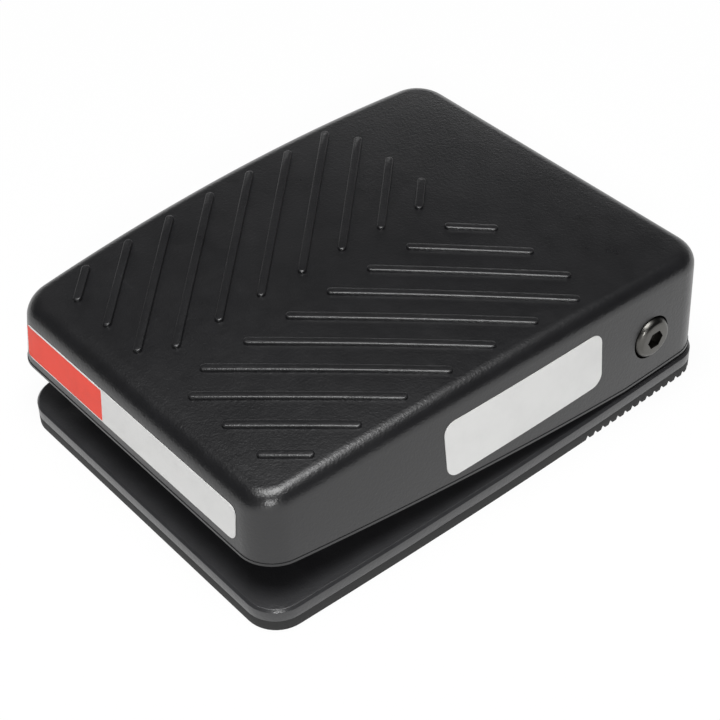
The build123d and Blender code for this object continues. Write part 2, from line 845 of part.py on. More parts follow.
with BuildPart() as inlet_bushing:
    with BuildSketch(Plane.XZ.offset(-inlet_rear - inlet_flange_thickness)):
        with Locations((0, cable_z)):
            RegularPolygon(inlet_flange / 2, 12)
    extrude(amount=inlet_flange_thickness)
    chamfer(inlet_bushing.faces().sort_by(Axis.Y)[-1].edges(), deck_edge)
    with BuildSketch(Plane.XZ.offset(-inlet_rear)):
        with Locations((0, cable_z)):
            Circle(inlet_hole / 2)
    extrude(amount=inlet_boss_depth + inlet_sleeve)
    with BuildSketch(Plane.XZ.offset(-inlet_rear - inlet_flange_thickness)):
        with Locations((0, cable_z)):
            Circle(cable_bore / 2)
    extrude(amount=3 * inlet_boss_depth, mode=Mode.SUBTRACT)

inlet_bushing.part.label = "inlet_bushing"
export_step(inlet_bushing.part, "parts/inlet_bushing.step")


# Earth screw and its square washer on the base's deck

earth_head_z = deck_z + earth_washer_thickness

with BuildPart() as earth_washer_piece:
    with BuildSketch(Plane.XY.offset(deck_z)):
        with Locations((earth_x, earth_y)):
            Rectangle(earth_washer, earth_washer)
            Circle(earth_screw / 2 + running_gap, mode=Mode.SUBTRACT)
    extrude(amount=earth_washer_thickness)

earth_washer_piece.part.label = "earth_washer"
export_step(earth_washer_piece.part, "parts/earth_washer.step")

with BuildPart() as earth_screw_piece:
    with BuildSketch(Plane.XY.offset(earth_head_z)):
        with Locations((earth_x, earth_y)):
            Circle(earth_screw / 2)
    extrude(amount=-earth_washer_thickness - earth_screw_depth)
    with BuildSketch(Plane.XY.offset(earth_head_z)):
        with Locations((earth_x, earth_y)):
            RegularPolygon(earth_head_flats / 2, 6, major_radius=False)
    extrude(amount=earth_head_height)

earth_screw_piece.part.label = "earth_screw"
export_step(earth_screw_piece.part, "parts/earth_screw.step")


# Blank stickers that follow the treadle's drafted walls

side_label_z = crown_front_z - side_label_drop
front_label_z = crown_front_z - front_label_drop

with BuildPart() as side_label:
    with BuildSketch(Plane.YZ) as sticker_outline:
        with Locations((side_label_y, side_label_z)):
            Rectangle(side_label_length, side_label_height, rotation=side_label_tilt)
        chamfer(sticker_outline.vertices(), side_label_corner)
    extrude(amount=2 * base_end_half)
    add(treadle_form(-label_thickness), mode=Mode.INTERSECT)
    add(treadle_form(), mode=Mode.SUBTRACT)

side_label.part.label = "side_label"
export_step(side_label.part, "parts/side_label.step")

with BuildPart() as front_label:
    with BuildSketch(Plane.XZ):
        with Locations((0, front_label_z)):
            Rectangle(front_label_length, front_label_height)
    extrude(amount=-2 * base_front)
    add(treadle_form(-label_thickness), mode=Mode.INTERSECT)
    add(treadle_form(), mode=Mode.SUBTRACT)

front_label.part.label = "front_label"
export_step(front_label.part, "parts/front_label.step")
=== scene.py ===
import json
from math import cos, pi, radians, sin

import bpy
import bmesh
from mathutils import Matrix, Vector


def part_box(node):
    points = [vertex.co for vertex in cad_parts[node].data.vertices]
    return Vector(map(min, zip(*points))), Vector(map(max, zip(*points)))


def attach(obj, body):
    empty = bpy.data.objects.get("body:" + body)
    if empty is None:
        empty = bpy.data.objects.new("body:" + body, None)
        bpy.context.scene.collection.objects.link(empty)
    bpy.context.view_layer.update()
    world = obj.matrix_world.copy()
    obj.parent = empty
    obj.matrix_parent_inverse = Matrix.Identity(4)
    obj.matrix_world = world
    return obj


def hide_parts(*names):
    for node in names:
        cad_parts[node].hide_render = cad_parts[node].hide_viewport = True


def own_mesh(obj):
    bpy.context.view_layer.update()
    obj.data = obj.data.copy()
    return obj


bl_info = {
    "name": "Industrial Foot Switch",
    "version": (1, 0, 0),
    "blender": (4, 5, 0),
    "location": "View3D > Sidebar > Foot Switch",
    "description": "Dresses the foot switch: treadle, base, sole, hardware, stickers and stage",
    "category": "Add Mesh",
}

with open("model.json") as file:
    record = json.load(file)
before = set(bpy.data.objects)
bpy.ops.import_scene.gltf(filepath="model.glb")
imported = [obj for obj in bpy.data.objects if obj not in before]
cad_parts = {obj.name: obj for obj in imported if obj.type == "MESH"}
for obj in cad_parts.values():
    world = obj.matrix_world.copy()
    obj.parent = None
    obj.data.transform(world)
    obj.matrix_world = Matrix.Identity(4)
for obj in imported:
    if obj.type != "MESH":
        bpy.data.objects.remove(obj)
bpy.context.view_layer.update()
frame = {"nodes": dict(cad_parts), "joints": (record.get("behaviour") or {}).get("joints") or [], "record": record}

PHOTO_SIZE = 720
SLOT_OF_NODE = {part["node"]: part["material_slot"] for part in frame["record"]["subparts"]}
PIVOT = Vector(next(joint["pos_m"] for joint in frame["joints"] if joint["name"] == "treadle_hinge"))
# The treadle's travel, from rest to fully pressed
TRAVEL = radians(4)
# Turns that lay an upright cylinder along x and along y
ALONG_X = (0, pi / 2, 0)
ALONG_Y = (pi / 2, 0, 0)
# A hundredth of a millimetre, the least step that counts
NEAR = 0.00001


def metres(name, description, default):
    """Size in metres."""
    return bpy.props.FloatProperty(name=name, description=description, default=default, unit="LENGTH")


def metres_pair(name, description, default):
    """Two sizes in metres."""
    return bpy.props.FloatVectorProperty(
        name=name, description=description, default=default, size=2, unit="LENGTH"
    )


def degrees(name, description, default):
    """Angle, its default in degrees."""
    return bpy.props.FloatProperty(
        name=name, description=description, default=radians(default), subtype="ANGLE"
    )


def rgb(name, description, default):
    """Colour without its alpha."""
    return bpy.props.FloatVectorProperty(name=name, description=description, default=default, subtype="COLOR")


def plain(name, description, default):
    """Plain number."""
    return bpy.props.FloatProperty(name=name, description=description, default=default)


def whole(name, description, default):
    """Whole number."""
    return bpy.props.IntProperty(name=name, description=description, default=default)


class FootSwitchTreadleSettings(bpy.types.PropertyGroup):
    """Treadle shell and ribs, and the base's drawn-in corner."""

    toe_half: metres("Toe half width", "Half width of the skirt at the toe end", 0.0406)
    heel_half: metres("Heel half width", "Half width of the skirt at the heel end", 0.0429)
    crown_toe_half: metres("Crown toe half width", "Half width of the crown at the toe end", 0.0381)
    crown_heel_half: metres("Crown heel half width", "Half width of the crown at the heel end", 0.0422)
    skirt_bow: metres("Skirt bow", "How far the long sides bow outward", 0.0016)
    toe_y: metres("Toe end", "Front of the skirt", -0.0549)
    heel_y: metres("Heel end", "Rear of the skirt", 0.0559)
    toe_draft: metres("Toe draft", "How far the toe wall leans back at the crown", 0.0021)
    heel_draft: metres("Heel draft", "How far the heel wall leans in at the crown", 0.0001)
    toe_corner: metres("Toe corner", "Radius of the toe corners", 0.0067)
    heel_corner: metres("Heel corner", "Radius of the heel corners", 0.0074)
    top_edge: metres("Top edge", "Radius of the crown's edge", 0.0034)
    skirt_low: metres("Skirt height", "Lowest edge of the skirt, at the heel", 0.0063)
    skirt_rise: metres("Skirt rise", "How far the skirt's edge climbs to the toe", 0.0069)
    kink_y: metres("Kink", "Where the skirt's edge starts to climb", 0.0326)
    crown_toe: metres("Crown at toe", "Height of the crown's toe end", 0.02727)
    crown_tilt: metres("Crown tilt", "How much higher the crown's heel end is", 0.0016)
    crown_rise: metres("Crown rise", "Height of the crown's arch", 0.0024)
    wall: metres("Wall", "Casting thickness", 0.0024)
    lip_height: metres("Lip height", "Height of the bead along the skirt's edge", 0.0005)
    lip_proud: metres("Lip", "How far the bead stands out", 0.00012)
    corner_inset: metres("Base corner", "How far the base's left front corner is drawn in", 0.007)
    rib_count: whole("Ribs", "Ribs on each half", 10)
    rib_pitch: metres("Rib pitch", "Spacing of the ribs along the treadle", 0.01005)
    rib_width: metres("Rib width", "Width of one rib", 0.0017)
    rib_height: metres("Rib height", "How far a rib stands up", 0.0006)
    rib_apex: metres("First apex", "Where the rearmost chevron's lines would meet", 0.0169)
    rib_inner: metres("Rib gap", "Distance of the ribs from the centre line", 0.0038)
    rib_side: metres("Rib side", "Where the ribs end beside the walls", 0.0367)
    rib_side_flare: plain("Rib flare", "How much wider the ribs end further back", 0.036)
    rib_front: metres("Rib field front", "Line that cuts the ribs at the toe", -0.0454)
    rib_rear: metres("Rib field rear", "Line that cuts the ribs at the heel", 0.0282)


class FootSwitchHardwareSettings(bpy.types.PropertyGroup):
    """Pivot screws, cable bushing and return spring."""

    head_diameter: metres("Screw head", "Diameter of the pivot screw's head", 0.0088)
    head_flat: metres("Screw flat", "Diameter of the flat ring round the socket", 0.0063)
    head_rim: metres("Screw rim", "Height of the head's straight rim", 0.0008)
    head_height: metres("Screw height", "Height of the head", 0.0025)
    socket_flats: metres("Socket", "Width of the hex socket across flats", 0.0036)
    socket_depth: metres("Socket depth", "Depth of the hex socket", 0.0017)
    shank_diameter: metres("Shank", "Diameter of the pivot screw", 0.005)
    shank_length: metres("Shank length", "Length of the pivot screw under its head", 0.0115)
    bore_diameter: metres("Cable bore", "Bore of the cable bushing", 0.008)
    wire_diameter: metres("Spring wire", "Wire of the return spring", 0.0012)
    spring_turns: whole("Spring turns", "Turns of the return spring", 4)


class FootSwitchLabelSettings(bpy.types.PropertyGroup):
    """Blank stickers and their colours."""

    thickness: metres("Film", "Thickness of the stickers", 0.00015)
    side_middle: metres_pair("Side sticker", "Middle of the side sticker, y and z", (0.0059, 0.0185))
    side_size: metres_pair("Side size", "Length and height of the side sticker", (0.0392, 0.0127))
    side_corner: metres("Side corner", "Corner radius of the side sticker", 0.0026)
    side_tilt: degrees("Side tilt", "Lean of the side sticker", 1.25)
    front_middle: metres_pair("Front sticker", "Middle of the front sticker, x and z", (-0.0014, 0.0195))
    front_size: metres_pair("Front size", "Length and height of the front sticker", (0.0672, 0.0078))
    front_corner: metres("Front corner", "Corner radius of the front sticker", 0.0018)
    red_end: metres("Red end", "Where the front sticker's red field ends", -0.0089)
    white: rgb("White film", "Colour of the white film", (0.73, 0.73, 0.72))
    red: rgb("Red print", "Colour of the red field", (0.9, 0.05, 0.02))


class FootSwitchFinishSettings(bpy.types.PropertyGroup):
    """Colours of the metals, plastics and rubber."""

    coat: rgb("Powder coat", "Black of the treadle", (0.0095, 0.0095, 0.0105))
    deck: rgb("Base coat", "Black of the base", (0.027, 0.027, 0.029))
    rubber: rgb("Rubber", "Colour of the sole and stops", (0.014, 0.014, 0.014))
    screw: rgb("Screw steel", "Colour of the pivot screws", (0.11, 0.107, 0.1))
    zinc: rgb("Zinc", "Colour of the zinc-plated fasteners", (0.62, 0.63, 0.65))
    brass: rgb("Brass", "Colour of the terminals", (0.78, 0.62, 0.33))
    grain_size: plain("Grain", "Grains of the powder coat per metre", 2600.0)


class FootSwitchStageSettings(bpy.types.PropertyGroup):
    """Camera, floor and light."""

    azimuth: degrees("Azimuth", "Camera's turn from the front", 51.681)
    elevation: degrees("Elevation", "Camera's height angle", 40.949)
    roll: degrees("Roll", "Camera's lean about its own axis", -2.371)
    distance: bpy.props.FloatProperty(
        name="Distance", description="Camera to its target", default=0.36223, unit="LENGTH", precision=4
    )
    target: bpy.props.FloatVectorProperty(
        name="Target", description="Point that the camera turns about", default=(0.00259, -0.00513, 0.0112),
        subtype="XYZ", unit="LENGTH", precision=5
    )
    focal_pixels: plain("Focal length", "Focal length in pixels of the photograph", 1826.8)
    centre: bpy.props.FloatVectorProperty(
        name="Optical centre", description="Point of the photograph that the lens looks straight at",
        default=(343.214, 354.753), size=2
    )
    floor_size: metres("Floor size", "Side of the square floor", 6.0)
    floor_colour: rgb("Floor colour", "Colour of the table", (0.88, 0.88, 0.88))
    floor_shadow: bpy.props.FloatProperty(
        name="Shadow", description="How much of the table's real shading the camera sees", default=0.08,
        subtype="FACTOR"
    )
    key_power: plain("Key light", "Power of the soft light over the object", 9.5)
    fill_power: plain("Fill light", "Power of the small light beside the camera", 3.6)
    horizon: plain("Horizon", "Level of the room near the horizon", 1.4)
    side_fall: plain("Side fall", "How fast the horizon dims towards the sides", 2.5)
    mid_sky: plain("Middle", "Level of the room half way up", 0.03)
    ceiling: plain("Ceiling", "Level of the room overhead", 1.0)


def deselect_all():
    """Leave edit mode with nothing selected."""
    if bpy.context.object and bpy.context.object.mode != "OBJECT":
        close_edit()
    bpy.ops.object.select_all(action="DESELECT")


def close_edit():
    """Leave edit mode."""
    bpy.ops.object.mode_set(mode="OBJECT")


def choose(piece):
    """Select one piece alone and make it the active one."""
    deselect_all()
    piece.select_set(True)
    bpy.context.view_layer.objects.active = piece


def edit(piece):
    """Open a piece for editing with all of it selected."""
    choose(piece)
    bpy.ops.object.mode_set(mode="EDIT")
    bpy.ops.mesh.select_all(action="SELECT")


def settle(piece):
    """Settle a piece's place, turn and size into its mesh."""
    choose(piece)
    bpy.ops.object.transform_apply(location=True, rotation=True, scale=True)


def start_piece(name):
    """Name the new primitive, settle it and open it for editing."""
    piece = bpy.context.object
    piece.name = name
    piece.data.name = name
    settle(piece)
    edit(piece)
    return piece


def add_block(name, low, high):
    """Box between two corners, open for editing."""
    deselect_all()
    centre = [(a + b) / 2 for a, b in zip(low, high)]
    size = [b - a for a, b in zip(low, high)]
    bpy.ops.mesh.primitive_cube_add(size=1, location=centre, scale=size)
    return start_piece(name)


def add_cylinder(name, radius, depth, place, turn=(0, 0, 0), vertices=64):
    """Upright cylinder, turned about its middle, open for editing."""
    deselect_all()
    bpy.ops.mesh.primitive_cylinder_add(
        vertices=vertices, radius=radius, depth=depth, location=place, rotation=turn
    )
    return start_piece(name)


def pick(piece, kind, test):
    """Select the vertices, edges or faces that pass a test."""
    bpy.ops.mesh.select_mode(type=kind)
    bpy.ops.mesh.select_all(action="DESELECT")
    mesh = bmesh.from_edit_mesh(piece.data)
    items = {"VERT": mesh.verts, "EDGE": mesh.edges, "FACE": mesh.faces}[kind]
    for item in items:
        if test(item):
            item.select_set(True)
    bmesh.update_edit_mesh(piece.data)


def round_edges(width, segments):
    """Round the selected edges."""
    bpy.ops.mesh.bevel(offset=width, segments=segments, affect="EDGES")


def extrude(step):
    """Extrude what is selected by a step."""
    bpy.ops.mesh.extrude_region_move(TRANSFORM_OT_translate={"value": step})


def spread(factor):
    """Scale what is selected about the pivot axis."""
    bpy.ops.transform.resize(value=(1, factor, factor), center_override=(0, PIVOT.y, PIVOT.z))


def slice_rows(axis, levels):
    """Cut rows of edges through the whole mesh at levels along an axis."""
    normal = Vector((0, 0, 0))
    normal[axis] = 1
    for level in levels:
        bpy.ops.mesh.select_all(action="SELECT")
        bpy.ops.mesh.bisect(plane_co=normal * level, plane_no=normal)


def pick_facing(piece, way):
    """Select the faces that look straight one way, or nearly so."""
    nearly = 0.9
    pick(piece, "FACE", lambda face: face.normal.dot(Vector(way)) > nearly)


def open_underside(piece):
    """Take away the faces that look down."""
    pick_facing(piece, (0, 0, -1))
    bpy.ops.mesh.delete(type="FACE")


def middle(item):
    """Middle of an edge or a face."""
    return sum((corner.co for corner in item.verts), Vector()) / len(item.verts)


def run_of(edge):
    """Absolute run of an edge along each axis."""
    run = edge.verts[0].co - edge.verts[1].co
    return Vector((abs(run.x), abs(run.y), abs(run.z)))


def add_modifier(piece, kind, **values):
    """Add one modifier and apply it."""
    modifier = piece.modifiers.new(kind.lower(), kind)
    for name, value in values.items():
        setattr(modifier, name, value)
    bpy.context.view_layer.objects.active = piece
    bpy.ops.object.modifier_apply(modifier=modifier.name)


def warp(piece, start, size, counts, place):
    """Shape a piece with a lattice about a point, its corners moved by a rule."""
    deselect_all()
    bpy.ops.object.add(type="LATTICE", location=start)
    cage = bpy.context.object
    cage.scale = size
    for axis, count in zip("uvw", counts):
        setattr(cage.data, "points_" + axis, count)
        setattr(cage.data, "interpolation_type_" + axis, "KEY_LINEAR")
    for point in cage.data.points:
        corner = Vector(part * length for part, length in zip(point.co, size)) + start
        moved = place(corner) - start
        point.co_deform = Vector(part / length for part, length in zip(moved, size))
    bpy.context.view_layer.update()
    add_modifier(piece, "LATTICE", object=cage)
    bpy.data.objects.remove(cage)


def close_piece(piece, smooth_angle):
    """Make the normals agree, leave edit mode and smooth the round surfaces."""
    edit(piece)
    bpy.ops.mesh.normals_make_consistent(inside=False)
    choose(piece)
    bpy.ops.object.shade_smooth_by_angle(angle=radians(smooth_angle))
    deselect_all()


def dress(piece, body, slot):
    """Give a piece its body, its slot and the slot's finish."""
    piece.data.materials.clear()
    piece.data.materials.append(finish_of(slot))
    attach(piece, body)


def copy_piece(piece, name):
    """Copy of a piece with its own mesh."""
    twin = piece.copy()
    twin.data = piece.data.copy()
    twin.name = name
    twin.data.name = name
    bpy.context.scene.collection.objects.link(twin)
    return twin


def cut(piece, cutter):
    """Cut a piece with another, which goes."""
    deselect_all()
    add_modifier(piece, "BOOLEAN", operation="DIFFERENCE", solver="EXACT", object=cutter)
    bpy.data.objects.remove(cutter)


def join_to(piece, others):
    """Join pieces into one object."""
    choose(piece)
    for other in others:
        other.select_set(True)
    bpy.ops.object.join()


def merged_copy(node, name):
    """Copy of a CAD node with its triangles joined up, for smooth shading and softened edges."""
    piece = copy_piece(frame["nodes"][node], name)
    piece.parent = None
    piece.matrix_world = Matrix.Identity(4)
    piece.hide_render = False
    edit(piece)
    bpy.ops.mesh.remove_doubles(threshold=0.000005)
    bpy.ops.mesh.dissolve_limited(angle_limit=radians(0.5))
    close_edit()
    return piece


# Nodes, and the node groups that the finishes share


def put(tree, socket, value):
    """Link a socket to an input, or write a plain value into it."""
    if isinstance(value, bpy.types.NodeSocket):
        tree.links.new(value, socket)
    else:
        socket.default_value = value


def set_inputs(tree, node, **values):
    """Set a node's inputs by name."""
    for name, value in values.items():
        put(tree, node.inputs[name.replace("_", " ")], value)
    return node


def add_node(tree, kind, **values):
    """Shader node with its inputs set."""
    return set_inputs(tree, tree.nodes.new("ShaderNode" + kind), **values)


def add_noise(tree, place, scale, detail, roughness):
    """Noise at a place."""
    node = add_node(tree, "TexNoise", Vector=place, Scale=scale, Detail=detail, Roughness=roughness)
    return node.outputs["Fac"]


def add_math(tree, operation, *values):
    """One Math node."""
    node = add_node(tree, "Math")
    node.operation = operation
    for socket, value in zip(node.inputs, values):
        put(tree, socket, value)
    return node.outputs["Value"]


def add_ramp(tree, value, low, high):
    """Smooth step of a value from 0 at low to 1 at high."""
    node = add_node(tree, "MapRange", Value=value, From_Min=low, From_Max=high)
    node.interpolation_type = "SMOOTHSTEP"
    return node.outputs["Result"]


def noise_patches(tree, place, low, high, **noise):
    """Noise stepped to 0 below low and 1 above high, as soft patches."""
    return add_ramp(tree, add_noise(tree, place, **noise), low, high)


def add_mix(tree, share, first, second):
    """Mix of two colours."""
    node = add_node(tree, "Mix")
    node.data_type = "RGBA"
    for index, value in ((0, share), (6, first), (7, second)):
        put(tree, node.inputs[index], value)
    return node.outputs[2]


def split_place(tree, place):
    """The three parts of a place or a direction."""
    return add_node(tree, "SeparateXYZ", Vector=place).outputs


def object_place(tree):
    """Object coordinates."""
    return add_node(tree, "TexCoord").outputs["Object"]


def new_group(name, inputs, outputs):
    """Empty node group with its sockets: Colour is a colour, and the others are numbers."""
    group = bpy.data.node_groups.new(name, "ShaderNodeTree")
    for labels, side in ((inputs, "INPUT"), (outputs, "OUTPUT")):
        for label in labels:
            kind = "NodeSocketColor" if label == "Colour" else "NodeSocketFloat"
            group.interface.new_socket(name=label, in_out=side, socket_type=kind)
    return group, group.nodes.new("NodeGroupInput").outputs, group.nodes.new("NodeGroupOutput")


def grain_group():
    """Powder grain: fine beads and noise, with a mottled tint and gloss."""
    if "powder_grain" in bpy.data.node_groups:
        return bpy.data.node_groups["powder_grain"]
    group, given, out = new_group(
        "powder_grain", ("Colour", "Tint spread", "Scale", "Gloss", "Gloss spread"),
        ("Colour", "Roughness", "Height")
    )
    place = object_place(group)
    fine = add_node(group, "TexNoise", Vector=place, Scale=given["Scale"], Detail=2.0)
    bead_scale = add_math(group, "MULTIPLY", given["Scale"], 0.55)
    beads = add_node(group, "TexVoronoi", Vector=place, Scale=bead_scale)
    beads.feature = "SMOOTH_F1"
    broad = add_noise(group, place, scale=45.0, detail=5.0, roughness=0.6)
    patches = add_noise(group, place, scale=260.0, detail=3.0, roughness=0.6)
    lift = add_math(group, "MULTIPLY_ADD", beads.outputs["Distance"], -0.6, fine.outputs["Fac"])
    shade = add_math(group, "SUBTRACT", add_math(group, "ADD", broad, patches), 1.0)
    value = add_math(group, "MULTIPLY_ADD", shade, given["Tint spread"], 1.0)
    tint = add_node(group, "HueSaturation", Color=given["Colour"], Value=value).outputs["Color"]
    gloss = add_math(group, "MULTIPLY_ADD", shade, given["Gloss spread"], given["Gloss"])
    set_inputs(group, out, Colour=tint, Roughness=gloss, Height=lift)
    return group


def mask_group(name, draw):
    """Group that puts out a mask times its amount."""
    if name in bpy.data.node_groups:
        return bpy.data.node_groups[name]
    group, given, out = new_group(name, ("Amount",), ("Mask",))
    mask = add_math(group, "MULTIPLY", draw(group, object_place(group)), given["Amount"])
    set_inputs(group, out, Mask=mask)
    return group


def dust_mask(group, place):
    """Thin dust that settles on faces that look up, in soft patches."""
    normal = split_place(group, add_node(group, "NewGeometry").outputs["Normal"])
    facing = add_ramp(group, normal["Z"], low=0.3, high=1.0)
    patches = noise_patches(group, place, low=0.42, high=0.72, scale=70.0, detail=6.0, roughness=0.65)
    specks = noise_patches(group, place, low=0.66, high=0.74, scale=1900.0, detail=2.0, roughness=0.5)
    return add_math(group, "MULTIPLY", add_math(group, "MULTIPLY_ADD", patches, 0.5, specks), facing)


def scuff_mask(group, place):
    """Worn patches of long faint scratches in two directions."""
    scratches = []
    for turn, stretch in ((0.5, (900.0, 18.0, 60.0)), (-0.9, (14.0, 760.0, 60.0))):
        drawn = add_node(group, "Mapping", Vector=place, Rotation=(0.0, 0.0, turn), Scale=stretch)
        across = drawn.outputs["Vector"]
        lines = noise_patches(group, across, low=0.7, high=0.78, scale=1.0, detail=2.0, roughness=0.5)
        scratches.append(lines)
    patches = noise_patches(group, place, low=0.5, high=0.7, scale=55.0, detail=3.0, roughness=0.5)
    return add_math(group, "MULTIPLY", add_math(group, "MAXIMUM", *scratches), patches)


def use_group(tree, group, **values):
    """Put a group into a material with its values set, and return its outputs."""
    node = add_node(tree, "Group")
    node.node_tree = group
    return set_inputs(tree, node, **values).outputs


# Finishes


def new_material(name):
    """Empty node material with its Principled shader."""
    material = bpy.data.materials.new(name)
    material.use_nodes = True
    return material, material.node_tree, material.node_tree.nodes["Principled BSDF"]


def add_bump(tree, shader, height, distance, strength):
    """Bump from a height."""
    bump = add_node(tree, "Bump", Height=height, Distance=distance, Strength=strength)
    set_inputs(tree, shader, Normal=bump.outputs["Normal"])


def grained_finish(name, colour, gloss, scale, relief, metallic=0.0, tint_spread=0.25, gloss_spread=0.08,
                   specular=0.5, dust=0.0, scuffs=0.0):
    """Finish with fine grain, a mottled tint, and dust and scuffs where asked."""
    material, tree, shader = new_material(name)
    grain = use_group(
        tree, grain_group(), Colour=(*colour, 1), Tint_spread=tint_spread, Scale=scale, Gloss=gloss,
        Gloss_spread=gloss_spread
    )
    shown = grain["Colour"]
    for group_name, draw, amount, tone in (
        ("settled_dust", dust_mask, dust, (0.2, 0.19, 0.18, 1.0)),
        ("scuffs", scuff_mask, scuffs, (0.16, 0.16, 0.17, 1.0)),
    ):
        if amount:
            mask = use_group(tree, mask_group(group_name, draw), Amount=amount)["Mask"]
            shown = add_mix(tree, mask, shown, tone)
    set_inputs(
        tree, shader, Base_Color=shown, Roughness=grain["Roughness"], Metallic=metallic,
        Specular_IOR_Level=specular
    )
    add_bump(tree, shader, grain["Height"], relief, strength=0.6)
    return material


def turned_finish(name, colour, gloss, rings):
    """Machined metal with fine turning marks round the pivot axis."""
    material, tree, shader = new_material(name)
    shift = add_node(tree, "Mapping", Vector=object_place(tree), Location=(0.0, -PIVOT.y, -PIVOT.z))
    wave = add_node(tree, "TexWave", Vector=shift.outputs["Vector"], Scale=rings, Distortion=1.5, Detail=2.0)
    wave.wave_type = "RINGS"
    wave.rings_direction = "X"
    grain = use_group(
        tree, grain_group(), Colour=(*colour, 1), Tint_spread=0.35, Scale=3500.0, Gloss=gloss,
        Gloss_spread=0.15
    )
    set_inputs(tree, shader, Base_Color=grain["Colour"], Roughness=grain["Roughness"], Metallic=1.0)
    height = add_math(tree, "MULTIPLY_ADD", grain["Height"], 0.5, wave.outputs["Fac"])
    add_bump(tree, shader, height, distance=0.00001, strength=0.5)
    return material


def film_finish(name, settings):
    """Blank printed film: a red field and a white one inside a pale border, slightly aged."""
    material, tree, shader = new_material(name)
    place = object_place(tree)
    aged = noise_patches(tree, place, low=0.35, high=0.8, scale=120.0, detail=5.0, roughness=0.6)
    aged_white = tuple(0.93 * part for part in settings.white)
    colour = add_mix(tree, aged, (*settings.white, 1.0), (*aged_white, 1.0))
    if name == "front_label_finish":
        border = 0.00025
        parts = split_place(tree, place)
        start = settings.front_middle[0] - settings.front_size[0] / 2 + border
        past_start = add_math(tree, "GREATER_THAN", parts["X"], start)
        before_end = add_math(tree, "LESS_THAN", parts["X"], settings.red_end)
        rise = add_math(tree, "SUBTRACT", parts["Z"], settings.front_middle[1])
        rise = add_math(tree, "ABSOLUTE", rise, 0.0)
        inside = add_math(tree, "LESS_THAN", rise, settings.front_size[1] / 2 - border)
        field = add_math(tree, "MULTIPLY", add_math(tree, "MULTIPLY", past_start, before_end), inside)
        aged_red = tuple(0.88 * part for part in settings.red)
        red = add_mix(tree, aged, (*settings.red, 1.0), (*aged_red, 1.0))
        colour = add_mix(tree, field, colour, red)
    fibres = add_noise(tree, place, scale=1500.0, detail=3.0, roughness=0.6)
    gloss = add_math(tree, "MULTIPLY_ADD", fibres, 0.12, 0.4)
    set_inputs(tree, shader, Base_Color=colour, Roughness=gloss, Specular_IOR_Level=0.3)
    add_bump(tree, shader, fibres, distance=0.00002, strength=0.3)
    return material


def grained_slots():
    """Colour, gloss, grains per metre, relief in metres and other values of each slot's grained finish."""
    own = bpy.context.scene.footswitch_finish
    worn = {"specular": 0.7, "dust": 0.02, "scuffs": 0.08, "tint_spread": 0.35}
    soft = {"tint_spread": 0.3, "dust": 0.05}
    mottled = {"tint_spread": 0.3}
    plated = {"metallic": 1.0, "gloss_spread": 0.12}
    bare = {"metallic": 1.0, "gloss_spread": 0.14}
    return {
        "treadle_paint": (own.coat, 0.3, own.grain_size, 0.00007, worn),
        "base_paint": (own.deck, 0.3, own.grain_size, 0.00007, worn),
        "sole_rubber": (own.rubber, 0.72, 1500.0, 0.00005, soft),
        "stop_rubber": (own.rubber, 0.72, 1500.0, 0.00005, soft),
        "zinc_steel": (own.zinc, 0.3, 3000.0, 0.00001, plated),
        "spring_steel": (own.zinc, 0.3, 3000.0, 0.00001, plated),
        "terminal_brass": (own.brass, 0.32, 2600.0, 0.00001, bare),
        "arm_brass": (own.brass, 0.32, 2600.0, 0.00001, bare),
        "contact_silver": ((0.83, 0.82, 0.8), 0.2, 2600.0, 0.00001, {"metallic": 1.0}),
        "nylon": ((0.68, 0.65, 0.56), 0.45, 900.0, 0.00003, {"tint_spread": 0.08}),
        "case_plastic": ((0.02, 0.02, 0.022), 0.38, 1700.0, 0.00003, mottled),
        "bushing_plastic": ((0.016, 0.016, 0.016), 0.48, 1900.0, 0.00003, mottled),
        "plunger_plastic": ((0.5, 0.03, 0.02), 0.3, 1500.0, 0.00001, {"tint_spread": 0.12}),
        "earth_paint": ((0.03, 0.24, 0.07), 0.35, 2600.0, 0.00002, {"metallic": 0.6, "tint_spread": 0.2}),
    }


def finish_of(slot):
    """The finish of a material slot, made on first use."""
    name = slot + "_finish"
    if name in bpy.data.materials:
        return bpy.data.materials[name]
    if slot == "screw_steel":
        return turned_finish(name, bpy.context.scene.footswitch_finish.screw, gloss=0.3, rings=900.0)
    if slot in ("side_label", "front_label"):
        return film_finish(name, bpy.context.scene.footswitch_labels)
    colour, gloss, grains, relief, others = grained_slots()[slot]
    return grained_finish(name, colour, gloss, grains, relief, **others)


# Pieces


def crown_height(sizes, y):
    """Height of the crown at y, a shallow arch from toe to heel."""
    share = (y - sizes.toe_y) / (sizes.heel_y - sizes.toe_y)
    return sizes.crown_toe + sizes.crown_tilt * share + 4 * sizes.crown_rise * share * (1 - share)


def flat_crown(sizes):
    """Height of the crown before it is arched."""
    spare = 0.0008
    return sizes.crown_toe + spare


def wall_place(sizes, corner):
    """Where a corner of the plain block goes: drafted and bowed walls under the arched crown."""
    low = sizes.skirt_low
    high = sizes.crown_toe + sizes.crown_tilt + sizes.crown_rise
    along = (corner.y - sizes.toe_y) / (sizes.heel_y - sizes.toe_y)
    z = corner.z
    above_edge = 0.001
    if z > low + above_edge:
        z += crown_height(sizes, corner.y) - flat_crown(sizes)
    up = (z - low) / (high - low)
    low_half = sizes.toe_half + (sizes.heel_half - sizes.toe_half) * along
    high_half = sizes.crown_toe_half + (sizes.crown_heel_half - sizes.crown_toe_half) * along
    half = low_half + (high_half - low_half) * up + 4 * sizes.skirt_bow * along * (1 - along)
    y = corner.y + sizes.toe_draft * up * (1 - along) - sizes.heel_draft * up * along
    return Vector((corner.x * half / sizes.heel_half, y, z))


def lift_place(sizes, corner):
    """Where a corner goes that only follows the crown's arch."""
    return Vector((corner.x, corner.y, corner.z + crown_height(sizes, corner.y) - flat_crown(sizes)))


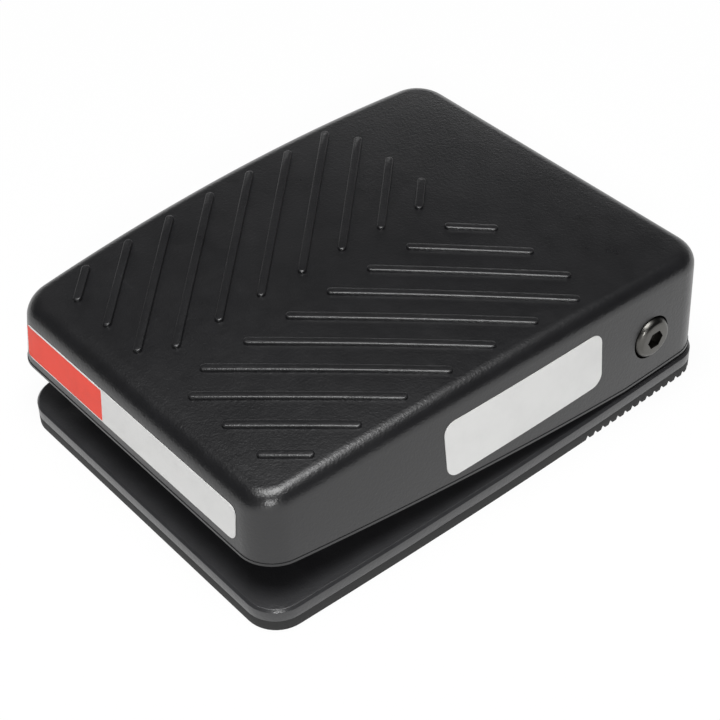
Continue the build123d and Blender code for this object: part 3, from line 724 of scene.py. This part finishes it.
def shape_with_cage(piece, sizes, place):
    """Shape a piece with a cage the size of the treadle."""
    below_edge = 0.0006
    rows = 41
    mid = flat_crown(sizes) - sizes.top_edge - below_edge
    start = Vector((0, (sizes.toe_y + sizes.heel_y) / 2, mid))
    size = Vector((2 * sizes.heel_half, sizes.heel_y - sizes.toe_y, 2 * (mid - sizes.skirt_low)))
    warp(piece, start, size, (2, rows, 3), lambda corner: place(sizes, corner))


class FOOTSWITCH_OT_treadle(bpy.types.Operator):
    """Cast treadle shell: drafted and bowed walls, arched crown, beaded skirt, pivot and cable openings"""

    bl_idname = "footswitch.treadle"
    bl_label = "Treadle"

    def execute(self, context):
        sizes = context.scene.footswitch_treadle
        top = flat_crown(sizes)
        half = sizes.heel_half
        shell = add_block("treadle_shell", (-half, sizes.toe_y, sizes.skirt_low), (half, sizes.heel_y, top))
        tall = 0.8 * (top - sizes.skirt_low)
        for sign, radius in ((-1, sizes.toe_corner), (1, sizes.heel_corner)):
            pick(shell, "EDGE", lambda edge: run_of(edge).z > tall and sign * middle(edge).y > 0)
            round_edges(radius, segments=10)
        pick(shell, "EDGE", lambda edge: middle(edge).z > top - NEAR)
        round_edges(sizes.top_edge, segments=9)
        open_underside(shell)
        row_pitch = 0.004
        slice_rows(1, [sizes.kink_y] + [row_pitch * step for step in range(-11, 12)])
        close_edit()
        shape_with_cage(shell, sizes, wall_place)
        trim_skirt(shell, sizes)
        add_modifier(shell, "SOLIDIFY", thickness=sizes.wall, offset=-1.0, use_even_offset=True)
        raise_bead(shell, sizes)
        cut(shell, cable_notch(sizes))
        bosses = treadle_bosses(sizes)
        pads = [boss for boss in bosses if boss.name.startswith("pivot_pad")]
        for side in (1, -1):
            for piece in [shell] + pads:
                cut(piece, pivot_cutter(context, side))
        join_to(shell, bosses)
        close_piece(shell, smooth_angle=40)
        dress(shell, "treadle", "treadle_paint")
        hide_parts("treadle_cover")
        return {"FINISHED"}


def trim_skirt(shell, sizes):
    """Cut the skirt to its kinked line, and cut edges above it where the bead will end."""
    kink = sizes.kink_y
    slope = Vector((0, sizes.skirt_rise, kink - sizes.toe_y)).normalized()
    edit(shell)
    edge = (0, kink, sizes.skirt_low)
    bpy.ops.mesh.bisect(plane_co=edge, plane_no=slope, clear_inner=True, threshold=NEAR)
    bead_z = sizes.skirt_low + sizes.lip_height
    half_way = 0.02
    for sign, normal in ((-1, slope), (1, (0, 0, 1))):
        pick(shell, "FACE", lambda face: sign * (middle(face).y - kink) > 0 and middle(face).z < half_way)
        bpy.ops.mesh.bisect(plane_co=(0, kink, bead_z), plane_no=normal, threshold=NEAR)
    close_edit()


def raise_bead(shell, sizes):
    """Raise the bead along the skirt's outer edge."""
    bead_z = sizes.skirt_low + sizes.lip_height
    climb = sizes.skirt_rise / (sizes.kink_y - sizes.toe_y)
    centre = Vector((0, (sizes.toe_y + sizes.heel_y) / 2, 0))
    steep = 0.5

    def on_bead(face):
        """Whether an outer face lies below the bead's upper line."""
        place = middle(face)
        line = bead_z + max(0, sizes.kink_y - place.y) * climb
        outward = (place - centre).xy.dot(face.normal.xy) > 0
        return place.z < line and abs(face.normal.z) < steep and outward

    edit(shell)
    pick(shell, "FACE", on_bead)
    bpy.ops.mesh.extrude_region_shrink_fatten(TRANSFORM_OT_shrink_fatten={"value": sizes.lip_proud})
    close_edit()


def cable_notch(sizes):
    """Cutter for the opening round the cable boss, with a round top."""
    low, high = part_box("inlet_bushing")
    room = 0.0027
    radius = (high[2] - low[2]) / 2 + room
    cable_z = (high[2] + low[2]) / 2
    through = 0.02
    cutter = add_cylinder("cable_notch", radius, through, (0, sizes.heel_y, cable_z), ALONG_Y)
    pick(cutter, "VERT", lambda corner: corner.co.z < cable_z - NEAR)
    bpy.ops.transform.resize(value=(1, 1, 0), center_override=(0, 0, cable_z - 2 * radius))
    close_edit()
    return cutter


def treadle_bosses(sizes):
    """Blocks cast under the crown: stop blocks, pivot pads, adjuster boss and spring pin."""
    down_low, down_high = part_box("down_stop_right")
    rest_low, rest_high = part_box("rest_stop_right")
    screw_low, screw_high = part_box("adjusting_screw")
    bush_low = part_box("pivot_bushing_right")[0]
    spring_low, spring_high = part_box("return_spring")
    drop = sin(TRAVEL) * (PIVOT.y - down_low[1])
    half_wall = 0.5 * sizes.wall
    block_start = sizes.toe_y + sizes.wall + sizes.top_edge
    under, rest_under, adjuster_under = (
        crown_height(sizes, y) - half_wall for y in (block_start, rest_high[1], screw_high[1])
    )
    pressed_gap = 0.0002
    rest_gap = 0.0003
    pad_gap = 0.0001
    pad_half = 0.0055
    stop_margin = 0.0005
    down_end = down_high[1] - stop_margin
    down_bottom = down_high[2] + drop + pressed_gap
    rest_bottom = rest_high[2] + rest_gap
    blocks = []
    for side in (1, -1):
        spans = (
            ("down_block", down_low[0], down_high[0], block_start, down_end, down_bottom, under),
            ("rest_block", rest_low[0], rest_high[0], rest_low[1], rest_high[1], rest_bottom, rest_under),
            ("pivot_pad", bush_low[0] + pad_gap, sizes.heel_half - half_wall, PIVOT.y - pad_half,
             PIVOT.y + pad_half, PIVOT.z - pad_half, rest_under - half_wall),
        )
        for name, x_in, x_out, y_in, y_out, z_in, z_out in spans:
            ends = sorted((side * x_in, side * x_out))
            blocks.append(add_block(name, (ends[0], y_in, z_in), (ends[1], y_out, z_out)))
    boss_half = 0.0045
    boss_margin = 0.0025
    boss_grip = 0.002
    boss_low = (-boss_half, screw_low[1] - boss_margin, screw_high[2] - boss_grip)
    boss_high = (boss_half, screw_high[1] + boss_margin, adjuster_under)
    blocks.append(add_block("adjuster_boss", boss_low, boss_high))
    pin_radius = 0.004
    pin_height = 0.0042
    pin_drop = 0.0009
    pin_place = [(low + high) / 2 for low, high in zip(spring_low, spring_high)]
    pin_place[2] = spring_high[2] - pin_drop
    blocks.append(add_cylinder("spring_pin", pin_radius, pin_height, pin_place, vertices=48))
    upright = 0.002
    for block in blocks:
        edit(block)
        pick(block, "EDGE", lambda edge: run_of(edge).z > upright and block.name != "spring_pin")
        round_edges(width=0.0006, segments=3)
        lowest = min(corner.co.z for corner in bmesh.from_edit_mesh(block.data).verts)
        pick(block, "EDGE", lambda edge: middle(edge).z < lowest + NEAR)
        round_edges(width=0.0003, segments=2)
        close_edit()
    return blocks


def pivot_cutter(context, side):
    """Stepped cutter for a pivot screw's head and its bushing."""
    low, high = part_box("pivot_bushing_right")
    bore = (high[2] - low[2]) / 2
    depth = 0.006
    cutter = add_cylinder(
        "pivot_cutter", bore, depth, (side * (high[0] - depth / 2), PIVOT.y, PIVOT.z), (0, side * pi / 2, 0)
    )
    pick_facing(cutter, (side, 0, 0))
    room = 0.0003
    head = context.scene.footswitch_hardware.head_diameter / 2 + room
    extrude((side * NEAR, 0, 0))
    spread(head / bore)
    reach = 0.004
    extrude((side * reach, 0, 0))
    close_edit()
    return cutter


class FOOTSWITCH_OT_ribs(bpy.types.Operator):
    """Chevron grip ribs, one modelled and the rest copied to their lengths"""

    bl_idname = "footswitch.ribs"
    bl_label = "Chevron ribs"

    def execute(self, context):
        sizes = context.scene.footswitch_treadle
        top = flat_crown(sizes)
        half = sizes.rib_width / 2
        unit = 0.01
        foot = 0.0005
        ridge = top + sizes.rib_height
        rib = add_block("chevron_ribs", (-half, -half, top - foot), (unit + half, half, ridge))
        pick(rib, "EDGE", lambda edge: run_of(edge).z > foot)
        round_edges(0.96 * half, segments=6)
        pick(rib, "EDGE", lambda edge: middle(edge).z > ridge - NEAR)
        round_edges(width=0.00026, segments=3)
        open_underside(rib)
        close_edit()
        ribs = []
        for index in range(sizes.rib_count):
            apex = sizes.rib_apex - index * sizes.rib_pitch
            side = (sizes.rib_side + sizes.rib_side_flare * apex) / (1 - sizes.rib_side_flare)
            inner = max(sizes.rib_inner, sizes.rib_front - apex)
            outer = min(side, sizes.rib_rear - apex)
            length = (outer - inner) * 2**0.5 - 2 * half
            along = inner + half / 2**0.5
            for hand in (1, -1):
                ribs.append(place_rib(rib, unit, length, hand, along, apex))
        bpy.data.objects.remove(rib)
        first = ribs[0]
        join_to(first, ribs[1:])
        first.name = "chevron_ribs"
        shape_with_cage(first, sizes, lift_place)
        close_piece(first, smooth_angle=50)
        dress(first, "treadle", "treadle_paint")
        return {"FINISHED"}


def place_rib(rib, unit, length, hand, along, apex):
    """Copy of the rib, stretched to its length and laid on its chevron line."""
    twin = copy_piece(rib, "rib")
    edit(twin)
    parts = 6
    slack = 0.08
    slice_rows(0, [unit * step / parts for step in range(1, parts)])
    for step in range(parts, 0, -1):
        pick(twin, "VERT", lambda corner: corner.co.x > unit * (step / parts - slack))
        bpy.ops.transform.translate(value=((length - unit) / parts, 0, 0))
    close_edit()
    twin.rotation_euler = (0, 0, radians(45 if hand > 0 else 135))
    twin.location = (hand * along, apex + along, 0)
    settle(twin)
    return twin


class FOOTSWITCH_OT_base(bpy.types.Operator):
    """Base casting and rubber sole, with their edges softened"""

    bl_idname = "footswitch.base"
    bl_label = "Base and sole"

    def execute(self, context):
        for node, name, width in (("base_casting", "base_plate", 0.00025), ("rubber_sole", "sole", 0.00012)):
            piece = merged_copy(node, name)
            add_modifier(
                piece, "BEVEL", width=width, segments=3, limit_method="ANGLE", angle_limit=radians(32),
                use_clamp_overlap=True
            )
            draw_in_corner(piece, context.scene.footswitch_treadle.corner_inset)
            close_piece(piece, smooth_angle=32)
            dress(piece, "base", SLOT_OF_NODE[node])
            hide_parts(node)
        return {"FINISHED"}


def draw_in_corner(piece, inset):
    """Draw the left edge in towards the toe, as the short front corner shows; the rest stays."""
    start = Vector((-0.033, 0, 0.003))
    cage_size = Vector((0.008, 0.114, 0.012))

    def drawn_in(corner):
        """Where a corner of the cage goes: inward when it is on the left at the toe."""
        at_corner = corner.x < start.x and corner.y < start.y
        return corner + Vector((inset * at_corner, 0, 0))

    warp(piece, start, cage_size, (2, 2, 2), drawn_in)


class FOOTSWITCH_OT_pivot_screws(bpy.types.Operator):
    """Button-head pivot screws: domed head, flat ring and hex socket"""

    bl_idname = "footswitch.pivot_screws"
    bl_label = "Pivot screws"

    def execute(self, context):
        sizes = context.scene.footswitch_hardware
        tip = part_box("pivot_screws")[1][0]
        radius = sizes.head_diameter / 2
        rim_x = tip - sizes.head_height + sizes.head_rim / 2
        screw = add_cylinder(
            "pivot_screw_right", radius, sizes.head_rim, (rim_x, PIVOT.y, PIVOT.z), ALONG_X, vertices=96
        )
        pick_facing(screw, (1, 0, 0))
        dome_height = sizes.head_height - sizes.head_rim
        flat = sizes.head_flat / 2
        last_radius = radius
        last_rise = 0.0
        rings = 8
        for step in range(1, rings + 1):
            turn = radians(90) * step / rings
            rise = dome_height * sin(turn)
            new_radius = flat + (radius - flat) * cos(turn)
            extrude((rise - last_rise, 0, 0))
            spread(new_radius / last_radius)
            last_radius = new_radius
            last_rise = rise
        pick_facing(screw, (-1, 0, 0))
        bpy.ops.mesh.inset(thickness=radius - sizes.shank_diameter / 2)
        extrude((-sizes.shank_length, 0, 0))
        round_edges(width=0.0004, segments=2)
        close_edit()
        cut(screw, socket_cutter(sizes, tip))
        close_piece(screw, smooth_angle=24)
        left = copy_piece(screw, "pivot_screw_left")
        edit(left)
        bpy.ops.transform.resize(value=(-1, 1, 1), center_override=(0, PIVOT.y, PIVOT.z))
        close_piece(left, smooth_angle=24)
        for piece in (screw, left):
            dress(piece, "base", "screw_steel")
        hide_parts("pivot_screws")
        return {"FINISHED"}


def socket_cutter(sizes, tip):
    """Hex cutter for a screw's socket, with a drilled point."""
    corner = sizes.socket_flats / 2 / cos(pi / 6)
    place = (tip, PIVOT.y, PIVOT.z)
    cutter = add_cylinder("socket_cutter", corner, 2 * sizes.socket_depth, place, ALONG_X, vertices=6)
    pick_facing(cutter, (-1, 0, 0))
    bpy.ops.mesh.inset(thickness=0.0003)
    point_depth = 0.0004
    extrude((-point_depth, 0, 0))
    spread(0.1)
    close_edit()
    return cutter


class FOOTSWITCH_OT_cable_bushing(bpy.types.Operator):
    """Cable bushing: rounded flange with a groove in its face, neck and bore"""

    bl_idname = "footswitch.cable_bushing"
    bl_label = "Cable bushing"

    def execute(self, context):
        low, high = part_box("inlet_bushing")
        flange = (high[2] - low[2]) / 2
        rear = high[1]
        axis = Vector((0, rear, (high[2] + low[2]) / 2))
        thick = 0.0016
        neck = 0.0055
        bushing = add_cylinder(
            "cable_bushing", flange, thick, axis - Vector((0, thick / 2, 0)), ALONG_Y, vertices=96
        )
        pick_facing(bushing, (0, -1, 0))
        bpy.ops.mesh.inset(thickness=flange - neck)
        extrude((0, low[1] - rear + thick, 0))
        pick_facing(bushing, (0, 1, 0))
        bpy.ops.mesh.inset(thickness=0.0012)
        groove = 0.0005
        groove_depth = 0.0003
        bpy.ops.mesh.inset(thickness=groove, depth=-groove_depth)
        bpy.ops.mesh.inset(thickness=groove, depth=groove_depth)
        sharp = 0.6
        near_rim = 0.97 * flange
        pick(
            bushing, "EDGE",
            lambda edge: edge.is_manifold and edge.calc_face_angle() > sharp
            and (middle(edge) - axis).xz.length > near_rim
        )
        round_edges(width=0.0004, segments=3)
        close_edit()
        bore_radius = context.scene.footswitch_hardware.bore_diameter / 2
        through = 0.03
        bore = add_cylinder("bore_cutter", bore_radius, through, (0, low[1], axis.z), ALONG_Y, vertices=96)
        close_edit()
        cut(bushing, bore)
        close_piece(bushing, smooth_angle=30)
        dress(bushing, "base", "bushing_plastic")
        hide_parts("inlet_bushing")
        return {"FINISHED"}


class FOOTSWITCH_OT_return_spring(bpy.types.Operator):
    """Return spring of round wire"""

    bl_idname = "footswitch.return_spring"
    bl_label = "Return spring"

    def execute(self, context):
        sizes = context.scene.footswitch_hardware
        low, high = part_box("return_spring")
        wire = sizes.wire_diameter / 2
        radius = (high[0] - low[0]) / 2 - wire
        place = ((high[0] + low[0]) / 2, (high[1] + low[1]) / 2, low[2])
        deselect_all()
        bpy.ops.mesh.primitive_circle_add(
            vertices=14, radius=wire, fill_type="NGON", location=(0, 0, 0), rotation=ALONG_Y
        )
        spring = start_piece("coil_spring")
        bpy.ops.transform.translate(value=(radius, 0, wire))
        close_edit()
        height = high[2] - low[2] - 2 * wire
        steps = 56
        add_modifier(
            spring, "SCREW", angle=2 * pi, iterations=sizes.spring_turns, steps=steps, render_steps=steps,
            screw_offset=height / sizes.spring_turns, use_merge_vertices=False
        )
        spring.location = place
        settle(spring)
        close_piece(spring, smooth_angle=50)
        dress(spring, "base", "spring_steel")
        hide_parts("return_spring")
        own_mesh(spring)
        return {"FINISHED"}


class FOOTSWITCH_OT_stickers(bpy.types.Operator):
    """Blank stickers laid on the treadle's side and toe walls"""

    bl_idname = "footswitch.stickers"
    bl_label = "Stickers"

    def execute(self, context):
        sizes = context.scene.footswitch_labels
        shell = bpy.data.objects["treadle_shell"]
        beside_wall = Vector((0.05, sizes.side_middle[0], sizes.side_middle[1]))
        before_toe = Vector((sizes.front_middle[0], -0.065, sizes.front_middle[1]))
        for node, size, corner, tilt, place, on_side in (
            ("side_label", sizes.side_size, sizes.side_corner, sizes.side_tilt, beside_wall, True),
            ("front_label", sizes.front_size, sizes.front_corner, 0.0, before_toe, False),
        ):
            piece = add_sticker(node + "_film", shell, size, corner, tilt, place, on_side)
            add_modifier(piece, "SOLIDIFY", thickness=sizes.thickness, offset=1.0)
            close_piece(piece, smooth_angle=30)
            dress(piece, "treadle", node)
            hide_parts(node)
        return {"FINISHED"}


def add_sticker(name, shell, size, corner, tilt, place, on_side):
    """Sheet with round corners, pressed on to the wall it faces."""
    deselect_all()
    bpy.ops.mesh.primitive_plane_add(size=1, location=(0, 0, 0), rotation=ALONG_Y)
    bpy.context.object.scale = (size[0], size[1], 1)
    sticker = start_piece(name)
    pick(sticker, "VERT", lambda point: True)
    bpy.ops.mesh.bevel(offset=corner, segments=8, affect="VERTICES")
    for axis, span, parts in ((0, size[0], 25), (2, size[1], 7)):
        slice_rows(axis, [span * (step / parts - 0.5) for step in range(1, parts)])
    close_edit()
    turned = Matrix.Rotation(pi / 2 if on_side else 0.0, 4, "Z")
    sticker.matrix_world = Matrix.Translation(place) @ turned @ Matrix.Rotation(-tilt, 4, "Y")
    settle(sticker)
    add_modifier(
        sticker, "SHRINKWRAP", wrap_method="PROJECT", target=shell, offset=0.00002, use_project_x=on_side,
        use_project_y=not on_side, use_positive_direction=True, use_negative_direction=True
    )
    return sticker


class FOOTSWITCH_OT_finishes(bpy.types.Operator):
    """Give every CAD node the finish of its slot"""

    bl_idname = "footswitch.finishes"
    bl_label = "Finishes"

    def execute(self, context):
        for node, piece in frame["nodes"].items():
            for place in piece.material_slots:
                place.material = finish_of(SLOT_OF_NODE[node])
        return {"FINISHED"}


class FOOTSWITCH_OT_stage(bpy.types.Operator):
    """Set up the floor, lights and camera"""

    bl_idname = "footswitch.stage"
    bl_label = "Stage"

    def execute(self, context):
        settings = context.scene.footswitch_stage
        deselect_all()
        bpy.ops.mesh.primitive_plane_add(size=settings.floor_size, location=(0, 0, 0))
        floor = context.object
        floor.name = "floor"
        floor.data.materials.append(floor_material(settings))
        add_camera(context, settings)
        add_lights(context, settings)
        context.scene.view_settings.view_transform = "Standard"
        return {"FINISHED"}


def add_camera(context, settings):
    """Camera at the photograph's viewing angle."""
    azimuth = settings.azimuth
    elevation = settings.elevation
    back = Vector((sin(azimuth) * cos(elevation), -cos(azimuth) * cos(elevation), sin(elevation)))
    level_right = Vector((cos(azimuth), sin(azimuth), 0))
    level_up = back.cross(level_right)
    right = level_right * cos(settings.roll) + level_up * sin(settings.roll)
    up = level_up * cos(settings.roll) - level_right * sin(settings.roll)
    data = bpy.data.cameras.new("photo_camera")
    data.sensor_width = 36
    data.lens = data.sensor_width * settings.focal_pixels / PHOTO_SIZE
    data.shift_x = (PHOTO_SIZE / 2 - settings.centre[0]) / PHOTO_SIZE
    data.shift_y = (settings.centre[1] - PHOTO_SIZE / 2) / PHOTO_SIZE
    data.clip_start = 0.01
    camera = bpy.data.objects.new("photo_camera", data)
    axes = Matrix((right, up, back)).transposed().to_4x4()
    camera.matrix_world = Matrix.Translation(Vector(settings.target) + back * settings.distance) @ axes
    context.scene.collection.objects.link(camera)
    context.scene.camera = camera


def add_lights(context, settings):
    """Soft lights overhead and beside the camera, and the light of the room."""
    for name, power, size, place in (
        ("overhead_light", settings.key_power, 0.6, (0.1, -0.1, 1.1)),
        ("camera_side_light", settings.fill_power, 0.14, (0.76, -0.6, 0.58)),
    ):
        data = bpy.data.lights.new(name, "AREA")
        data.energy = power
        data.size = size
        light = bpy.data.objects.new(name, data)
        turned = Vector(place).to_track_quat("Z", "Y").to_matrix().to_4x4()
        light.matrix_world = Matrix.Translation(place) @ turned
        context.scene.collection.objects.link(light)
    context.scene.world = room_world(settings)


def room_world(settings):
    """Room bright overhead and at the horizon ahead and behind, dimmer half way up and at the sides."""
    low_fade = (0.2, 0.38)
    ceiling_start = (0.8, 0.94)
    world = bpy.data.worlds.new("room")
    world.use_nodes = True
    tree = world.node_tree
    way = split_place(tree, add_node(tree, "TexCoord").outputs["Generated"])
    ahead_x = add_math(tree, "MULTIPLY", way["X"], -sin(settings.azimuth))
    ahead = add_math(tree, "MULTIPLY_ADD", way["Y"], cos(settings.azimuth), ahead_x)
    facing = add_math(tree, "POWER", add_math(tree, "MULTIPLY", ahead, ahead), settings.side_fall)
    low = add_math(tree, "SUBTRACT", 1.0, add_ramp(tree, way["Z"], *low_fade))
    low = add_math(tree, "MULTIPLY", low, facing)
    high = add_ramp(tree, way["Z"], *ceiling_start)
    level = add_math(tree, "MULTIPLY_ADD", low, settings.horizon, settings.mid_sky)
    level = add_math(tree, "MULTIPLY_ADD", high, settings.ceiling, level)
    level = add_math(tree, "MAXIMUM", level, add_node(tree, "LightPath").outputs["Is Camera Ray"])
    set_inputs(tree, tree.nodes["Background"], Color=(1, 1, 1, 1), Strength=level)
    return world


def floor_material(settings):
    """Table that the camera and reflections see as nearly plain white, with a soft shadow."""
    material, tree, shader = new_material("table_white")
    set_inputs(tree, shader, Base_Color=(*settings.floor_colour, 1), Roughness=0.8)
    glow = add_node(tree, "Emission", Color=(1, 1, 1, 1), Strength=1.0)
    path = add_node(tree, "LightPath").outputs
    seen = add_math(tree, "MAXIMUM", path["Is Camera Ray"], path["Is Glossy Ray"])
    seen = add_math(tree, "MAXIMUM", seen, path["Is Transmission Ray"])
    mix = add_node(tree, "MixShader", Fac=add_math(tree, "MULTIPLY", seen, 1 - settings.floor_shadow))
    put(tree, mix.inputs[1], shader.outputs["BSDF"])
    put(tree, mix.inputs[2], glow.outputs["Emission"])
    set_inputs(tree, tree.nodes["Material Output"], Surface=mix.outputs["Shader"])
    return material


class FOOTSWITCH_PT_panel(bpy.types.Panel):
    """Buttons that build the foot switch"""

    bl_label = "Foot Switch"
    bl_idname = "FOOTSWITCH_PT_panel"
    bl_space_type = "VIEW_3D"
    bl_region_type = "UI"
    bl_category = "Foot Switch"

    def draw(self, context):
        for operator in OPERATORS:
            self.layout.operator(operator.bl_idname)


SETTINGS = {
    "footswitch_treadle": FootSwitchTreadleSettings,
    "footswitch_hardware": FootSwitchHardwareSettings,
    "footswitch_labels": FootSwitchLabelSettings,
    "footswitch_finish": FootSwitchFinishSettings,
    "footswitch_stage": FootSwitchStageSettings,
}
OPERATORS = (
    FOOTSWITCH_OT_treadle,
    FOOTSWITCH_OT_ribs,
    FOOTSWITCH_OT_base,
    FOOTSWITCH_OT_pivot_screws,
    FOOTSWITCH_OT_cable_bushing,
    FOOTSWITCH_OT_return_spring,
    FOOTSWITCH_OT_stickers,
    FOOTSWITCH_OT_finishes,
    FOOTSWITCH_OT_stage,
)


def register():
    """Register the settings, operators and panel."""
    for settings in SETTINGS.values():
        bpy.utils.register_class(settings)
    for name, settings in SETTINGS.items():
        setattr(bpy.types.Scene, name, bpy.props.PointerProperty(type=settings))
    for operator in OPERATORS:
        bpy.utils.register_class(operator)
    bpy.utils.register_class(FOOTSWITCH_PT_panel)


def unregister():
    """Remove what register added."""
    bpy.utils.unregister_class(FOOTSWITCH_PT_panel)
    for operator in reversed(OPERATORS):
        bpy.utils.unregister_class(operator)
    for name, settings in SETTINGS.items():
        delattr(bpy.types.Scene, name)
        bpy.utils.unregister_class(settings)


def main():
    """Build the whole scene."""
    register()
    bpy.ops.footswitch.treadle()
    bpy.ops.footswitch.ribs()
    bpy.ops.footswitch.base()
    bpy.ops.footswitch.pivot_screws()
    bpy.ops.footswitch.cable_bushing()
    bpy.ops.footswitch.return_spring()
    bpy.ops.footswitch.stickers()
    bpy.ops.footswitch.finishes()
    bpy.ops.footswitch.stage()


if __name__ == "__main__":
    main()
